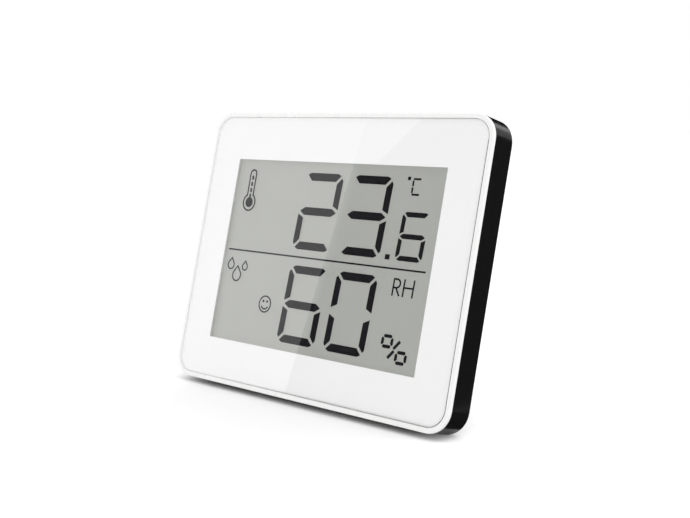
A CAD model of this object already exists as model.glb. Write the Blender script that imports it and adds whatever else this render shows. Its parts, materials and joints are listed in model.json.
# %% [markdown]
# # A slim digital hygrometer
#
# The real thing is a white front panel with a liquid crystal display behind a glossy clear
# pane, a shallow black tub behind it, and a small stand folded out at the back. The solids come
# ready made from the mechanical model, in metres, leaning back by the angle at which the
# instrument stands on a table. Blender adds what the eye needs: the finish of each surface, a
# front pane with a bevelled edge, two small marks at the back, and a quiet studio.

# %% Loading the solids
import json
import math

import bpy
import numpy as np
from mathutils import Matrix, Vector


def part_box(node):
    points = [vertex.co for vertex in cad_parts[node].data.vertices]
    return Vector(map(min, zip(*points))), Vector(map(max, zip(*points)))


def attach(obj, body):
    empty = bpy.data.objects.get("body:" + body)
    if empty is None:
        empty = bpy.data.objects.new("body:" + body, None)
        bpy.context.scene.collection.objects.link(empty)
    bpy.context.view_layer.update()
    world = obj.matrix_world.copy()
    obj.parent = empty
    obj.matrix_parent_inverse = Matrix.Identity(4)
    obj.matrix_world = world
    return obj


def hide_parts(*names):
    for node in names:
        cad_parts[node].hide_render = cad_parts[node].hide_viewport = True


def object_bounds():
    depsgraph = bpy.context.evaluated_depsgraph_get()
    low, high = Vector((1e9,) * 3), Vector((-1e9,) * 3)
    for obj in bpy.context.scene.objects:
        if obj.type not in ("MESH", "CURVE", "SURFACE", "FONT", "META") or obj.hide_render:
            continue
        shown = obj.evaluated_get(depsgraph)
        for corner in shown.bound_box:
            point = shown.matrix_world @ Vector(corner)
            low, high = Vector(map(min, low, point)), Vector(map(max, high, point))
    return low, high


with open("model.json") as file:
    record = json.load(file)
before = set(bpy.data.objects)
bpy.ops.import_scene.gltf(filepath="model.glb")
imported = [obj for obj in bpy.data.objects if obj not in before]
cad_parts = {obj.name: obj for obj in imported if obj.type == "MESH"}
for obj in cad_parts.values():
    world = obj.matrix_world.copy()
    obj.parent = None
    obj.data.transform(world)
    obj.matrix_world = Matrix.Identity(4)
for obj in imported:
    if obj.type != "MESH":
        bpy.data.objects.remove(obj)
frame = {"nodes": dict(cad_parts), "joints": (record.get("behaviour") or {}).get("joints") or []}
solid_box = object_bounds()
print("solids:", len(frame["nodes"]), "box:", [round(v, 4) for corner in solid_box for v in corner])

# %% [markdown]
# The case leans back, so nothing on it is square to the world axes. The push buttons travel
# straight through the case, and their axis therefore tells which way the case faces. From it
# come three directions that the whole script uses: across the face, up the face, and out of it.

# %% Directions of the leaning case
MM = 0.001

push = next(joint for joint in frame["joints"] if joint["name"] == "unit_button_press")
across_face = Vector((1, 0, 0))
out_of_face = Vector(push["axis"]).normalized()
up_face = out_of_face.cross(across_face).normalized()
lean = math.asin(out_of_face.z)
print("lean in degrees:", round(math.degrees(lean), 2), "up the face:", tuple(up_face))


# %% [markdown]
# The clear pane is a thin slab turned by the lean. The height and the thickness of such a slab
# follow from its upright box, and with them the middle of its front face, where all places on
# the front are counted from.

# %% Middle of the clear pane
def slab_middle(node):
    """Middle of a turned slab's front face. Its box is height h = H cos + T sin and depth
    d = H sin + T cos for a slab of height H and thickness T, which two lines give H."""
    low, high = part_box(node)
    box_h, box_d = high[2] - low[2], high[1] - low[1]
    height = (box_h * math.cos(lean) - box_d * math.sin(lean)) / math.cos(2 * lean)
    foot = Vector(((low[0] + high[0]) / 2, low[1], high[2] - height * math.cos(lean)))
    return foot + up_face * height / 2, high[0] - low[0], height


pane_middle, pane_w, pane_h = slab_middle("window_lens")
print("pane:", round(pane_w / MM, 2), "by", round(pane_h / MM, 2), "mm")


def on_face(across, up, out=0.0):
    """The point that lies this many millimetres across, up and out from the pane's middle."""
    return pane_middle + MM * (across * across_face + up * up_face + out * out_of_face)


# %% [markdown]
# ## The camera
#
# The photograph looks at the instrument from its right, a little from above, with a moderately
# long lens. It stands only a third of a metre away, so the near edge is clearly taller than the
# far one. The camera is described the way a photographer would: what it aims at, from how far,
# and the angles. It comes first, because the reflections further down depend on it.

# %% Camera
AIM = Vector((0, 5.54, 41.64)) * MM
DISTANCE = 0.33354
AZIMUTH = math.radians(42.332)
DOWN = math.radians(7.448)
ROLL = math.radians(0.083)
FOCAL_MM = 57.83

camera_data = bpy.data.cameras.new("photo_camera")
camera_data.lens = FOCAL_MM
camera_data.sensor_width = 36
camera_data.clip_start = 0.01
camera = bpy.data.objects.new("photo_camera", camera_data)
bpy.context.collection.objects.link(camera)
bpy.context.scene.camera = camera

sight = Vector((-math.sin(AZIMUTH), math.cos(AZIMUTH), 0)) * math.cos(DOWN)
sight.z = -math.sin(DOWN)
camera.rotation_mode = "QUATERNION"
camera.location = AIM - DISTANCE * sight
turned = sight.to_track_quat("-Z", "Y").to_matrix() @ Matrix.Rotation(ROLL, 3, "Z")
camera.rotation_quaternion = turned.to_quaternion()
bpy.context.scene.view_settings.view_transform = "Standard"
print("camera at", tuple(round(v, 4) for v in camera.location))

# %% [markdown]
# ## Writing materials as expressions
#
# A material is a small programme made of nodes. Wiring each Math node by hand hides the formula,
# so a thin wrapper lets the formula be written out: adding or multiplying two wrapped values
# adds the node that does it.


# %% Shader expressions
class Amount:
    """A number that changes over a surface. It wraps a socket, and each operator adds the Math
    node that works it out."""

    def __init__(self, finish, socket):
        self.finish = finish
        self.socket = socket

    def maths(self, operation, first, second):
        inputs = {0: first, 1: second}
        return self.finish.amount("ShaderNodeMath", {"operation": operation}, inputs)

    def __add__(self, other):
        return self.maths("ADD", self, other)

    def __radd__(self, other):
        return self.maths("ADD", other, self)

    def __sub__(self, other):
        return self.maths("SUBTRACT", self, other)

    def __rsub__(self, other):
        return self.maths("SUBTRACT", other, self)

    def __mul__(self, other):
        return self.maths("MULTIPLY", self, other)

    def __rmul__(self, other):
        return self.maths("MULTIPLY", other, self)


# %% [markdown]
# Everything else, such as a noise or a shader, comes from one method that takes the node's type,
# its settings and its inputs. The few mixtures that every finish here is made of stand beside
# it: noise, a blend of two colours, a bump and the ending.


# %% Materials under construction
class Finish:
    """One material under construction. The world is built in the same way, with its own ending."""

    def __init__(self, name, home=bpy.data.materials, ending="ShaderNodeOutputMaterial"):
        self.made = home.new(name)
        self.made.use_nodes = True
        self.tree = self.made.node_tree
        self.tree.nodes.clear()
        self.ending = ending

    def place(self):
        """Where a point lies on its object, in metres."""
        return self.node("ShaderNodeTexCoord").outputs["Object"]

    def node(self, kind, settings=(), inputs=()):
        """Adds a node: first its settings, then the values or links of its sockets."""
        made = self.tree.nodes.new(kind)
        for name, value in dict(settings).items():
            setattr(made, name, value)
        for name, value in dict(inputs).items():
            if isinstance(value, Amount):
                value = value.socket
            if isinstance(value, bpy.types.NodeSocket):
                self.tree.links.new(value, made.inputs[name])
            else:
                made.inputs[name].default_value = value
        return made

    def amount(self, kind, settings=(), inputs=(), output=0):
        """Adds a node and wraps one of its outputs, to calculate with."""
        return Amount(self, self.node(kind, settings, inputs).outputs[output])

    def noise(self, size, detail=2.0, roughness=0.5, stretch=(1, 1, 1)):
        """Noise from 0 to 1 whose blotches are about this many metres across."""
        spread = self.node("ShaderNodeMapping", {}, {"Vector": self.place(), "Scale": stretch})
        inputs = {
            "Vector": spread.outputs[0],
            "Scale": 1 / size,
            "Detail": detail,
            "Roughness": roughness,
        }
        return self.amount("ShaderNodeTexNoise", {}, inputs)

    def blend(self, share, first, second):
        """A colour between two colours. The mixing node keeps sockets for numbers and vectors
        too, under the same names, so those for colours are found by their type."""
        mixed = self.node("ShaderNodeMix", {"data_type": "RGBA"}, {"Factor": share})
        colours = [socket for socket in mixed.inputs if socket.type == "RGBA"]
        colours[0].default_value = (*first, 1)
        colours[1].default_value = (*second, 1)
        return next(socket for socket in mixed.outputs if socket.type == "RGBA")

    def bump(self, height, depth):
        """A bump whose full height is this many metres."""
        inputs = {"Height": height, "Distance": depth, "Strength": 1.0}
        return self.node("ShaderNodeBump", {}, inputs).outputs[0]

    def surface(self, shader):
        """Ends the material on this shader."""
        self.node(self.ending, {}, {"Surface": shader.outputs[0]})
        return self.made


# %% [markdown]
# ## Moulded plastic
#
# Injection moulded plastic has an even colour with a faint flow variation, and a surface that
# copies the mould: polished steel gives gloss, spark-eroded steel a fine matt grain. Both are
# one recipe with a different grain and roughness.


# %% Plastic recipe
FLOW_SIZE = 0.02
POLISH_SIZE = 0.006
POLISH_RANGE = 0.12


def plastic(name, colour, rough, grain, depth, tint=0.04):
    """Plastic with a flow tint, a roughness that wanders a little, and a moulded grain of this
    size and depth in metres."""
    finish = Finish(name)
    flow = finish.noise(FLOW_SIZE, detail=3)
    low = [channel * (1 - tint) for channel in colour]
    high = [min(channel * (1 + tint), 1) for channel in colour]
    polish = finish.noise(POLISH_SIZE, detail=3) * POLISH_RANGE - POLISH_RANGE / 2 + rough
    inputs = {
        "Base Color": finish.blend(flow, low, high),
        "Roughness": polish,
    }
    if depth > 0:
        inputs["Normal"] = finish.bump(finish.noise(grain, detail=2), depth)
    return finish.surface(finish.node("ShaderNodeBsdfPrincipled", {}, inputs))


def dress(node, material):
    """Gives a CAD node its finish."""
    for slot in frame["nodes"][node].material_slots:
        slot.material = material
    print(node, "takes", material.name)


# %% [markdown]
# The front frame is a smooth white with hardly any flow to be seen. Tub and stand are black with
# a soft gloss, and the buttons and the battery door come from a mould with a duller face.

# %% Finishes of the case
white_frame = plastic("white_frame", (0.885, 0.885, 0.88), 0.28, 0.0004, 0.000002, tint=0.01)
black_case = plastic("black_case", (0.008, 0.008, 0.0082), 0.2, 0.00022, 0.000004)
black_button = plastic("black_button", (0.007, 0.007, 0.0075), 0.32, 0.0002, 0.000004)
dress("front_frame", white_frame)
for node in ("rear_case", "stand"):
    dress(node, black_case)
for node in ("unit_button", "memory_button", "battery_door"):
    dress(node, black_button)

# %% [markdown]
# ## The clear pane and the print behind it
#
# The pane is acrylic: it shows what is behind it and mirrors about a twentieth of what stands in
# front of it. A refracting glass would bend the light and keep the lamps off the print, so the
# pane is a mix of a clear film and a mirror, weighed by the Fresnel law, on its front face only.


# %% Clear films
HAZE_SIZE = 0.012


def clear_film(name, through, index, rough):
    """A clear sheet: transparent, with a mirror on top by the Fresnel law."""
    finish = Finish(name)
    clear = finish.node("ShaderNodeBsdfTransparent", {}, {"Color": (*through, 1)})
    haze = finish.noise(HAZE_SIZE, detail=3) * rough
    mirror = finish.node("ShaderNodeBsdfGlossy", {}, {"Color": (1, 1, 1, 1), "Roughness": haze})
    law = finish.amount("ShaderNodeFresnel", {}, {"IOR": index})
    back = finish.amount("ShaderNodeNewGeometry", {}, {}, "Backfacing")
    inputs = {0: law * (1 - back), 1: clear.outputs[0], 2: mirror.outputs[0]}
    return finish.surface(finish.node("ShaderNodeMixShader", {}, inputs))


clear_pane = clear_film("clear_pane", (0.998, 0.998, 0.998), 1.49, 0.02)


# %% [markdown]
# The pane itself is cut from sheet, and its edge is broken by a polished bevel that catches the
# light as a thin line. A plate like that is one profile carried round a rounded rectangle, so a
# single function makes it from two parameters: the place round the outline and the place along
# the profile.


# %% Plates with a rounded outline
def rounded_outline(half_w, half_h, radius, steps=16):
    """Points round a rounded rectangle, counter-clockwise: each quarter turn of a circle with
    this radius is moved out to its corner, and the straight sides join the quarters."""
    turn = np.linspace(0, np.pi / 2, steps + 1)
    quarters = np.arange(4)[:, None] * np.pi / 2 + turn[None, :]
    side_x = np.sign(np.cos(quarters.mean(axis=1)))[:, None]
    side_z = np.sign(np.sin(quarters.mean(axis=1)))[:, None]
    across = side_x * (half_w - radius) + radius * np.cos(quarters)
    up = side_z * (half_h - radius) + radius * np.sin(quarters)
    return np.stack([across.ravel(), up.ravel()], axis=1)


def plate_points(half_w, half_h, radius, profile):
    """A grid of (across, up, out) points in millimetres: every pair (inset, out) of the profile
    gives one ring, the outline drawn in by the inset and lifted by out."""
    rings = []
    for inset, out in profile:
        ring = rounded_outline(half_w - inset, half_h - inset, radius - inset)
        rings.append(np.column_stack([ring, np.full(len(ring), out)]))
    return np.stack(rings)


def to_world(points, origin):
    """Turns (across, up, out) in millimetres into the world, counted from this origin."""
    axes = np.array([across_face, up_face, out_of_face])
    return np.array(origin) + MM * points @ axes


def ring_faces(rings, columns):
    """Four-sided faces between neighbouring rings, closed round the outline."""
    row, column = np.meshgrid(np.arange(rings - 1), np.arange(columns), indexing="ij")
    beside = (column + 1) % columns
    low, high = row * columns, (row + 1) * columns
    return np.stack([low + column, low + beside, high + beside, high + column], -1).reshape(-1, 4)


def new_piece(name, points, faces, body, material, smooth=True):
    """A mesh piece that rides on a body, with its place in its mesh."""
    mesh = bpy.data.meshes.new(name)
    mesh.from_pydata(np.asarray(points).tolist(), [], [list(map(int, face)) for face in faces])
    mesh.polygons.foreach_set("use_smooth", np.full(len(mesh.polygons), smooth))
    mesh.materials.append(material)
    piece = bpy.data.objects.new(name, mesh)
    bpy.context.collection.objects.link(piece)
    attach(piece, body)
    return piece


# %% [markdown]
# The sawn edge of such a sheet isn't clear, it scatters the light. In the photograph it looks
# white at the left of the face and turns grey towards the right, where the eye looks into the
# narrow gap beside it. The studio's light alone could make that change, but the gap is only about
# a fifth of a millimetre wide, which is less than one dot of the picture, so the finish carries
# the change along the face itself.

# %% Cut edge finish
EDGE_WHITE = 0.92
SAW_SIZE = 0.0003
SAW_SHARE = 0.1


def cut_edge(name, dark, left, right):
    """The sawn edge round the pane: white up to this place across the face, in metres, and
    evenly down to this dark grey at the other place, less a little saw grain."""
    finish = Finish(name)
    across = finish.amount("ShaderNodeSeparateXYZ", {}, {0: finish.place()})
    ends = {"Value": across, "From Min": left, "From Max": right}
    share = finish.amount("ShaderNodeMapRange", {}, ends)
    saw = finish.noise(SAW_SIZE, detail=2) * SAW_SHARE
    inputs = {
        "Base Color": finish.blend(share - saw, (EDGE_WHITE,) * 3, (dark,) * 3),
        "Roughness": 0.5,
    }
    return finish.surface(finish.node("ShaderNodeBsdfPrincipled", {}, inputs))


long_edge = cut_edge("cut_edge", 0.12, -0.045, 0.01)
top_edge = cut_edge("top_edge", 0.6, -0.03, 0.05)
print("edge finishes:", long_edge.name, top_edge.name)

# %% [markdown]
# The pane takes its outline from the solid, a little smaller all round, so that a fine gap shows
# between it and the frame. It doesn't sit exactly in the middle of its pocket: a few hundredths
# of a millimetre to the upper left make the gap at the right and below the wider one. The upper
# side of the edge has a paler finish than the rest. The back stays a hundredth of a millimetre
# off the print, because two faces in exactly the same plane would flicker. These lengths are in
# millimetres.

# %% The pane
PANE_CORNER = 5.45
PANE_BEVEL = 0.03
PANE_THICK = 0.49
PANE_INSET = 0.08
PANE_SHIFT = (-0.04, 0.05, 0)
LONG_EDGE_SLOT, TOP_EDGE_SLOT = 1, 2

half_w, half_h = pane_w / MM / 2, pane_h / MM / 2
pane_profile = [
    (PANE_INSET, -PANE_THICK),
    (PANE_INSET, -PANE_BEVEL),
    (PANE_INSET + PANE_BEVEL, 0),
]
pane_grid = plate_points(half_w, half_h, PANE_CORNER, pane_profile)
rings, columns = pane_grid.shape[:2]
front_cap = np.arange(columns) + (rings - 1) * columns
back_cap = np.arange(columns)[::-1]
pane_faces = [*ring_faces(rings, columns), front_cap, back_cap]
pane_world = to_world(pane_grid.reshape(-1, 3) + PANE_SHIFT, pane_middle)
pane = new_piece("window_pane", pane_world, pane_faces, "case", clear_pane, smooth=False)
pane.data.materials.append(long_edge)
pane.data.materials.append(top_edge)

edge_up = pane_grid[0, :, 1]
face_up = (edge_up + np.roll(edge_up, -1)) / 2
face_slots = np.zeros(len(pane.data.polygons), dtype=np.int32)
face_slots[:columns] = np.where(face_up > half_h - PANE_CORNER, TOP_EDGE_SLOT, LONG_EDGE_SLOT)
pane.data.polygons.foreach_set("material_index", face_slots)
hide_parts("window_lens")
print("window_pane:", len(pane.data.polygons), "faces")

# %% [markdown]
# ## The layers of the display
#
# Behind the print lie a polariser and two sheets of glass. In a real display they are glued
# together without air, and light goes through them as through one sheet. Here they are separate
# solids, and each face would mirror and shade once more. So they keep their finish, but the rays
# of the camera, of shadows, of scattered light and of mirrors pass them by, and the gloss of the
# polariser is a coat on the foil.

# %% Films of the display
clear_layer = clear_film("display_glass", (0.99, 0.995, 0.99), 1.5, 0.02)
for node in ("lcd_front_glass", "lcd_rear_glass"):
    dress(node, clear_layer)

polariser = clear_film("polariser", (0.93, 0.94, 0.92), 1.49, 0.1)
dress("lcd_front_polariser", polariser)


def pass_by(thing, *rays):
    """Lets rays of these kinds go straight through an object."""
    for ray in rays:
        setattr(thing, "visible_" + ray, False)
    print(thing.name, "is passed by:", *rays)


for node in ("lcd_front_glass", "lcd_rear_glass", "lcd_front_polariser"):
    pass_by(frame["nodes"][node], "camera", "shadow", "diffuse", "glossy")

white_print = plastic("white_print", (0.93, 0.93, 0.93), 0.5, 0.0003, 0, tint=0.004)
dress("window_mask", white_print)

# %% [markdown]
# The print, the figures and the signs are films a few micrometres thick in a real display, and
# the tape and the seal round them are thin too. The solids give them all more body than that,
# which would throw soft shadows on the foil behind, so they throw none.

# %% Films without a shadow
for node in ("window_mask", "lcd_digits", "lcd_symbols", "lens_tape", "lcd_seal"):
    pass_by(frame["nodes"][node], "shadow", "diffuse")

# %% [markdown]
# ## The display
#
# A reflective display has no lamp. The light comes through the front, is scattered by a
# grey-green foil behind the liquid crystal, and goes out again, except where a switched segment
# keeps it. The foil has a fine grain, and its clear coat stands for the gloss of the sheets that
# the camera passes by.

# %% Display finishes
FOIL_GRAIN = 0.00012
FOIL_CLOUD = 0.03
GRAIN_SHARE = 0.7
SEGMENT_CLOUD = 0.004


def reflector_finish():
    """Grey-green foil: a fine grain and a wide cloud together blend two close colours."""
    finish = Finish("reflector")
    grain = finish.noise(FOIL_GRAIN, detail=1)
    cloud = finish.noise(FOIL_CLOUD, detail=2)
    mix = grain * GRAIN_SHARE + cloud * (1 - GRAIN_SHARE)
    inputs = {
        "Base Color": finish.blend(mix, (0.41, 0.418, 0.39), (0.472, 0.48, 0.45)),
        "Roughness": 0.55,
        "Specular IOR Level": 0.2,
        "Coat Weight": 0.8,
        "Coat Roughness": 0.03,
        "Coat IOR": 1.45,
    }
    return finish.surface(finish.node("ShaderNodeBsdfPrincipled", {}, inputs))


def segment_finish():
    """Almost black, with a wide cloud between two close colours."""
    finish = Finish("segments")
    cloud = finish.noise(SEGMENT_CLOUD, detail=2)
    inputs = {
        "Base Color": finish.blend(cloud, (0.0075, 0.007, 0.009), (0.0095, 0.0088, 0.0112)),
        "Roughness": 0.6,
        "Specular IOR Level": 0.1,
    }
    return finish.surface(finish.node("ShaderNodeBsdfPrincipled", {}, inputs))


reflector = reflector_finish()
segments = segment_finish()
dress("lcd_reflector", reflector)
for node in ("lcd_digits", "lcd_symbols"):
    dress(node, segments)
print("nodes:", {made.name: len(made.node_tree.nodes) for made in (reflector, segments)})

# %% [markdown]
# ## Metals and the small parts inside
#
# Screws, the coin cell and the contacts are turned or stamped metal. Turned faces show fine
# lines, which a noise that is stretched along one axis gives.


# %% Metals
LINE_SIZE = 0.0005
LINE_DEPTH = 0.000004
LINE_RANGE = 0.2


def metal(name, colour, rough, stretch=(1, 1, 1)):
    """Bare metal whose roughness and bump follow fine lines from a stretched noise."""
    finish = Finish(name)
    lines = finish.noise(LINE_SIZE, detail=3, stretch=stretch)
    inputs = {
        "Base Color": (*colour, 1),
        "Metallic": 1.0,
        "Roughness": lines * LINE_RANGE + (rough - LINE_RANGE / 2),
        "Normal": finish.bump(lines, LINE_DEPTH),
    }
    return finish.surface(finish.node("ShaderNodeBsdfPrincipled", {}, inputs))


steel = metal("steel", (0.62, 0.61, 0.59), 0.3, (1, 8, 1))
tin = metal("tin", (0.72, 0.71, 0.68), 0.35, (6, 1, 1))
black_screw = metal("black_screw", (0.045, 0.045, 0.05), 0.38)
for node in ("board_screws", "coin_cell", "stand_pin"):
    dress(node, steel)
for node in ("contact_plus", "contact_minus", "clock_crystal"):
    dress(node, tin)
dress("case_screws", black_screw)

# %% [markdown]
# The parts inside are hidden in normal use, and show when the case is taken apart. Each line of
# the list gives a part the name of its finish, its colour, its roughness and the size of its
# grain in metres. The grain is a fiftieth as deep as it is wide.

# %% Small parts inside
GRAIN_DEPTH = 0.02
inside = {
    "lens_tape": ("tape", (0.75, 0.74, 0.7), 0.6, 0.0004),
    "lcd_seal": ("seal", (0.88, 0.88, 0.84), 0.4, 0.0003),
    "lcd_holder": ("holder", (0.78, 0.78, 0.76), 0.45, 0.0003),
    "zebra_top": ("rubber_strip", (0.5, 0.12, 0.13), 0.7, 0.0002),
    "zebra_bottom": ("rubber_strip", (0.5, 0.12, 0.13), 0.7, 0.0002),
    "main_board": ("board", (0.02, 0.14, 0.05), 0.35, 0.0006),
    "controller_blob": ("resin", (0.01, 0.01, 0.011), 0.25, 0.001),
    "smd_capacitors": ("ceramic", (0.32, 0.2, 0.11), 0.45, 0.0002),
    "smd_resistors": ("chip_black", (0.015, 0.015, 0.016), 0.4, 0.0002),
    "humidity_sensor": ("sensor_white", (0.8, 0.8, 0.77), 0.5, 0.0004),
    "thermistor": ("chip_black", (0.015, 0.015, 0.016), 0.4, 0.0002),
    "unit_switch": ("chip_black", (0.015, 0.015, 0.016), 0.4, 0.0002),
    "memory_switch": ("chip_black", (0.015, 0.015, 0.016), 0.4, 0.0002),
    "unit_plunger": ("plunger", (0.45, 0.42, 0.36), 0.4, 0.0002),
    "memory_plunger": ("plunger", (0.45, 0.42, 0.36), 0.4, 0.0002),
}
recipes = {}
for node, (name, colour, rough, grain) in inside.items():
    if name not in recipes:
        recipes[name] = plastic(name, colour, rough, grain, grain * GRAIN_DEPTH)
    dress(node, recipes[name])
print("finishes:", len(bpy.data.materials))

# %% [markdown]
# The battery door carries two marks that are moulded with it: a bent arrow that tells which way
# it opens, and the plus sign of the pole that lies under it. Each is one outline, drawn in
# millimetres and degrees as seen from behind. It starts inside the door and stands out of it by
# about a tenth of a millimetre, and its paler grey lets it be read on the black.

# %% Marks on the battery door
mark_grey = plastic("mark_grey", (0.1, 0.1, 0.102), 0.5, 0.0002, 0.000002)
MARK_TALL = 0.12
MARK_SUNK = 0.02
FLAT_WITHIN = 0.02 * MM
HEAD_LONG = 1.4
ARC_POINTS = 25


def back_middle(node):
    """Middle of the face that a part turns to the back, found from the part's own corners."""
    part = frame["nodes"][node]
    corners = np.array([part.matrix_world @ vertex.co for vertex in part.data.vertices])
    axes = np.array([across_face, up_face, out_of_face])
    placed = corners @ axes.T
    on_back = placed[placed[:, 2] < placed[:, 2].min() + FLAT_WITHIN]
    return (on_back.min(axis=0) + on_back.max(axis=0)) / 2 @ axes


def raised_mark(name, outline, node, body):
    """A closed prism over an outline: one ring sunk into the part, one lifted over it."""
    flat = np.array(outline) * (-1, 1)
    rings = [np.column_stack([flat, np.full(len(flat), out)]) for out in (MARK_SUNK, -MARK_TALL)]
    columns = len(flat)
    faces = [*ring_faces(2, columns), np.arange(columns) + columns, np.arange(columns)[::-1]]
    points = to_world(np.concatenate(rings), back_middle(node))
    mark = new_piece(name, points, faces, body, mark_grey, smooth=False)
    print(name, "has", len(faces), "faces")


def bent_arrow(radius, width, start, stop, head):
    """Outline of an arrow bent round a circle: x = r cos a and y = r sin a, out along the outer
    edge, round the three corners of the head, and back along the inner edge. The head reaches
    this far to each side, and HEAD_LONG times as far ahead."""
    turn = np.radians(np.linspace(start, stop, ARC_POINTS))
    along = np.column_stack([np.cos(turn), np.sin(turn)])
    ahead = turn[-1] + head * HEAD_LONG / radius
    tip = radius * np.array([[np.cos(ahead), np.sin(ahead)]])
    barbs = along[-1:] * (radius + head), along[-1:] * (radius - head)
    outer, inner = along * (radius + width / 2), along[::-1] * (radius - width / 2)
    return np.concatenate([outer, barbs[0], tip, barbs[1], inner])


def plus_sign(x, y, reach, half):
    """The twelve corners of a plus sign round (x, y): three corners of one arm, each turned by
    0, 1, 2 and 3 quarter turns."""
    arm = np.array([(half, half), (half, reach), (-half, reach)])
    quarter = np.array([[0, 1], [-1, 0]])
    turned = [arm @ np.linalg.matrix_power(quarter, turns) for turns in range(4)]
    return np.concatenate(turned) + (x, y)


arrow = bent_arrow(radius=8.8, width=0.5, start=50, stop=125, head=0.9)
plus = plus_sign(x=0, y=-5.6, reach=1.3, half=0.25)
raised_mark("door_arrow", arrow, "battery_door", "battery_door")
raised_mark("door_plus", plus, "battery_door", "battery_door")

# %% [markdown]
# ## The studio
#
# The object stands on a white floor in front of white. The floor takes the object's shadow. It
# also has a slight glow of its own, for the camera alone, which takes it to white where it lies
# open. The glow is nothing before and under the middle of the object and almost full at its two
# sides, where it lightens the real shadow a little.

# %% Floor
GLOW_LEVEL = 0.24
GLOW_OFFSET = (0.0, 0.026, 0)
GLOW_STRETCH = (1, 1.3, 1)
GLOW_FROM, GLOW_TO = 0.039, 0.06


def stage_plane(name, corners, material):
    """A flat piece of the studio through four corners, in order around its edge."""
    mesh = bpy.data.meshes.new(name)
    mesh.from_pydata([tuple(corner) for corner in corners], [], [(0, 1, 2, 3)])
    plane = bpy.data.objects.new(name, mesh)
    mesh.materials.append(material)
    bpy.context.collection.objects.link(plane)
    return plane


def floor_finish():
    """White table whose glow, seen by the camera alone, grows softly with the length of
    (x, 1.3 y + 0.026): nothing up to 39 mm, the full level from 60 mm on."""
    finish = Finish("studio_floor")
    seen = finish.amount("ShaderNodeLightPath", {}, {}, "Is Camera Ray")
    spread = {"Vector": finish.place(), "Location": GLOW_OFFSET, "Scale": GLOW_STRETCH}
    flat = finish.node("ShaderNodeMapping", {}, spread)
    reach = finish.amount("ShaderNodeVectorMath", {"operation": "LENGTH"}, {0: flat.outputs[0]}, 1)
    soft = {"interpolation_type": "SMOOTHSTEP"}
    ends = {"Value": reach, "From Min": GLOW_FROM, "From Max": GLOW_TO, "To Max": GLOW_LEVEL}
    glow = seen * finish.amount("ShaderNodeMapRange", soft, ends)
    colour = finish.node("ShaderNodeCombineColor", {}, {0: glow, 1: glow, 2: glow})
    inputs = {
        "Base Color": (0.93, 0.93, 0.93, 1),
        "Roughness": 0.9,
        "Specular IOR Level": 0.0,
        "Emission Color": colour.outputs[0],
        "Emission Strength": 1.0,
    }
    return finish.surface(finish.node("ShaderNodeBsdfPrincipled", {}, inputs))


FLOOR = 4.0
floor_corners = [(-FLOOR, -FLOOR, 0), (FLOOR, -FLOOR, 0), (FLOOR, FLOOR, 0), (-FLOOR, FLOOR, 0)]
stage_plane("studio_floor", floor_corners, floor_finish())
print("floor corners:", floor_corners)

# %% [markdown]
# The world lights the object evenly. Mirror rays meet a slightly brighter world than scattered
# light does, as in a studio whose walls are lit more than the object, and the camera itself sees
# plain white.

# %% World
WORLD_LEVEL = 1.03
MIRROR_LEVEL = 1.25
SEEN_LEVEL = 1.0


def studio_world():
    """White all round, with one level for scattered light, a higher one for mirror rays and
    plain white for the camera."""
    finish = Finish("studio", bpy.data.worlds, "ShaderNodeOutputWorld")
    in_mirror = finish.amount("ShaderNodeLightPath", {}, {}, "Is Glossy Ray")
    seen = finish.amount("ShaderNodeLightPath", {}, {}, "Is Camera Ray")
    lit = in_mirror * (MIRROR_LEVEL - WORLD_LEVEL) + WORLD_LEVEL
    inputs = {"Color": (1, 1, 1, 1), "Strength": lit * (1 - seen) + seen * SEEN_LEVEL}
    return finish.surface(finish.node("ShaderNodeBackground", {}, inputs))


bpy.context.scene.world = studio_world()
print("world level:", WORLD_LEVEL, "in mirrors:", MIRROR_LEVEL, "seen:", SEEN_LEVEL)

# %% [markdown]
# A world alone gives no direction, so a large soft lamp hangs above, to the right and behind. It
# is weak, because most of the light comes from all round.

# %% Key lamp
LAMP_PLACE = (0.5, 0.2, 0.95)
LAMP_SIZE = 0.5
LAMP_WATTS = 2.2


def soft_lamp(name, place, aim, size, watts):
    """A square soft lamp that looks from its place at a point."""
    data = bpy.data.lights.new(name, "AREA")
    data.size = size
    data.energy = watts
    lamp = bpy.data.objects.new(name, data)
    bpy.context.collection.objects.link(lamp)
    lamp.rotation_mode = "QUATERNION"
    lamp.location = place
    lamp.rotation_quaternion = (Vector(aim) - Vector(place)).to_track_quat("-Z", "Y")


soft_lamp("key_lamp", LAMP_PLACE, AIM, LAMP_SIZE, LAMP_WATTS)
print("key lamp at", LAMP_PLACE, "with", LAMP_WATTS, "watts")

# %% [markdown]
# ## What the gloss reflects
#
# In the photograph a slanted edge runs over the pane: left of it the pane mirrors something
# bright, right of it something dark. Photographers do this with a black flag, a board that keeps
# light out of a reflection. The board hangs where the mirrored camera sees it, so its corners are
# worked out by mirroring the camera in the pane and looking from there through chosen points of
# the face. Places on the face are in millimetres from the middle of the pane, as before, and
# distances in metres. Only mirror rays see the board, so it takes no light from the object.

# %% Flags
FLAG_DISTANCE = 0.45
FLAG_EDGE_TOP = (7.6, 28.0)
FLAG_EDGE_FOOT = (-2.4, -29.0)
EDGE_REACH = 2.6
FLAG_WIDE = 130
CLOTH_WEAVE = 0.002


def flag_finish():
    """Black cloth without any gloss."""
    finish = Finish("black_flag")
    weave = finish.noise(CLOTH_WEAVE)
    inputs = {
        "Base Color": finish.blend(weave, (0.002, 0.002, 0.002), (0.004, 0.004, 0.004)),
        "Roughness": 1.0,
        "Specular IOR Level": 0.0,
    }
    return finish.surface(finish.node("ShaderNodeBsdfPrincipled", {}, inputs))


def mirrored(point):
    """The point on the far side of the pane, as deep behind it as this one is in front."""
    depth = (point - pane_middle).dot(out_of_face)
    return point - 2 * depth * out_of_face


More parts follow.
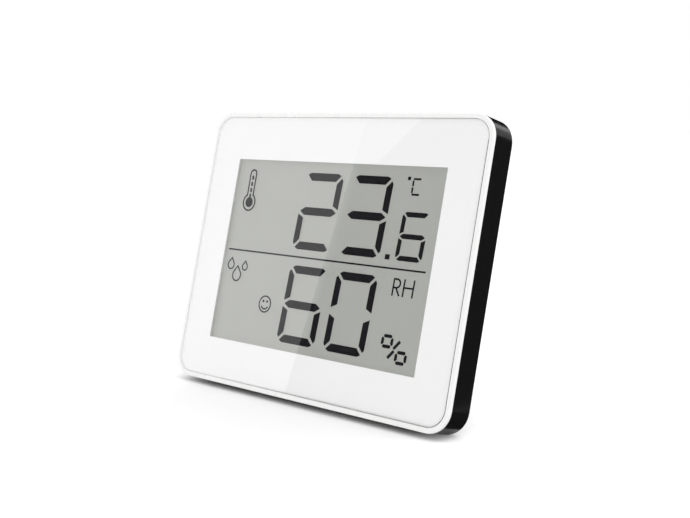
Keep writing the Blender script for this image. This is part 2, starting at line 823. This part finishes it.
def seen_in_pane(across, up, distance):
    """The point in front of the pane whose mirror image the camera sees at this place."""
    image = mirrored(camera.location)
    ray = (on_face(across, up) - image).normalized()
    return on_face(across, up) + ray * distance


def mirrored_board(name, corners, material):
    """A studio board that only mirror rays see."""
    board = stage_plane(name, corners, material)
    pass_by(board, "camera", "diffuse", "shadow", "transmission")
    print(name, "corners:", [tuple(round(v, 3) for v in corner) for corner in corners])


edge_top, edge_foot = np.array(FLAG_EDGE_TOP), np.array(FLAG_EDGE_FOOT)
edge_middle = (edge_top + edge_foot) / 2
half_edge = (edge_top - edge_foot) / 2 * EDGE_REACH
high_x, high_z = (edge_middle + half_edge).tolist()
low_x, low_z = (edge_middle - half_edge).tolist()
flag_places = [(high_x, high_z), (low_x, low_z), (FLAG_WIDE, low_z), (FLAG_WIDE, high_z)]
flag_corners = [seen_in_pane(across, up, FLAG_DISTANCE) for across, up in flag_places]
black_flag = flag_finish()
mirrored_board("pane_flag", flag_corners, black_flag)

# %% [markdown]
# At the top of the pane the photograph shows a second, fainter edge: a wedge beside the first one
# is only half dark. A grey card hangs there a little in front of the black board.

# %% Grey card
CARD_DISTANCE = 0.43
CARD_CORNERS = ((7.6, 28.2), (16.4, 28.2), (34.0, 45.2), (10.4, 45.2))
grey_card = plastic("grey_card", (0.82, 0.82, 0.82), 0.9, 0.002, 0)
card_corners = [seen_in_pane(across, up, CARD_DISTANCE) for across, up in CARD_CORNERS]
mirrored_board("grey_card", card_corners, grey_card)

# %% [markdown]
# A second board stands beside the instrument on the right. It keeps the white surroundings out
# of the black side wall, which then stays deep black. The lower corner would still mirror the
# white table, so the board has a foot of the same cloth that lies on it. The upper corner rounds
# off to grey instead of white, and a grey card on top of the board gives it that to mirror.

# %% Side flag
BOARD_LIFT = 0.001
SIDE_FLAG_GAP = 0.016
SIDE_FLAG_FOOT = -0.002
SIDE_FLAG_TALL = 0.0855
SIDE_CARD_TOP = 0.125
SIDE_NEAR, SIDE_FAR = -0.03, 0.25
FOOT_LIFT = 0.0006

side_x = solid_box[1][0] + SIDE_FLAG_GAP
foot_x = solid_box[1][0] + SIDE_FLAG_FOOT


def side_board(low, high):
    """Corners of an upright board beside the object, from one height to another."""
    ends = [(SIDE_NEAR, low), (SIDE_FAR, low), (SIDE_FAR, high), (SIDE_NEAR, high)]
    return [(side_x, depth, height) for depth, height in ends]


foot_places = [(foot_x, SIDE_NEAR), (side_x, SIDE_NEAR), (side_x, SIDE_FAR), (foot_x, SIDE_FAR)]
foot_corners = [(across, depth, FOOT_LIFT) for across, depth in foot_places]
side_card = plastic("side_card", (0.55, 0.55, 0.55), 0.9, 0.002, 0)
mirrored_board("side_flag", side_board(BOARD_LIFT, SIDE_FLAG_TALL), black_flag)
mirrored_board("side_flag_foot", foot_corners, black_flag)
mirrored_board("side_card", side_board(SIDE_FLAG_TALL, SIDE_CARD_TOP), side_card)

# %% [markdown]
# The rounded top right corner starts black as well, so something dark also stands behind the
# instrument on the left, where the top of the case mirrors it.

# %% Rear flag
REAR_FLAG_AWAY = 0.5
REAR_FLAG_TALL = 0.7
REAR_LEFT, REAR_RIGHT = -0.9, 0.0
rear_corners = [
    (REAR_LEFT, REAR_FLAG_AWAY, BOARD_LIFT),
    (REAR_RIGHT, REAR_FLAG_AWAY, BOARD_LIFT),
    (REAR_RIGHT, REAR_FLAG_AWAY, REAR_FLAG_TALL),
    (REAR_LEFT, REAR_FLAG_AWAY, REAR_FLAG_TALL),
]
mirrored_board("rear_flag", rear_corners, black_flag)
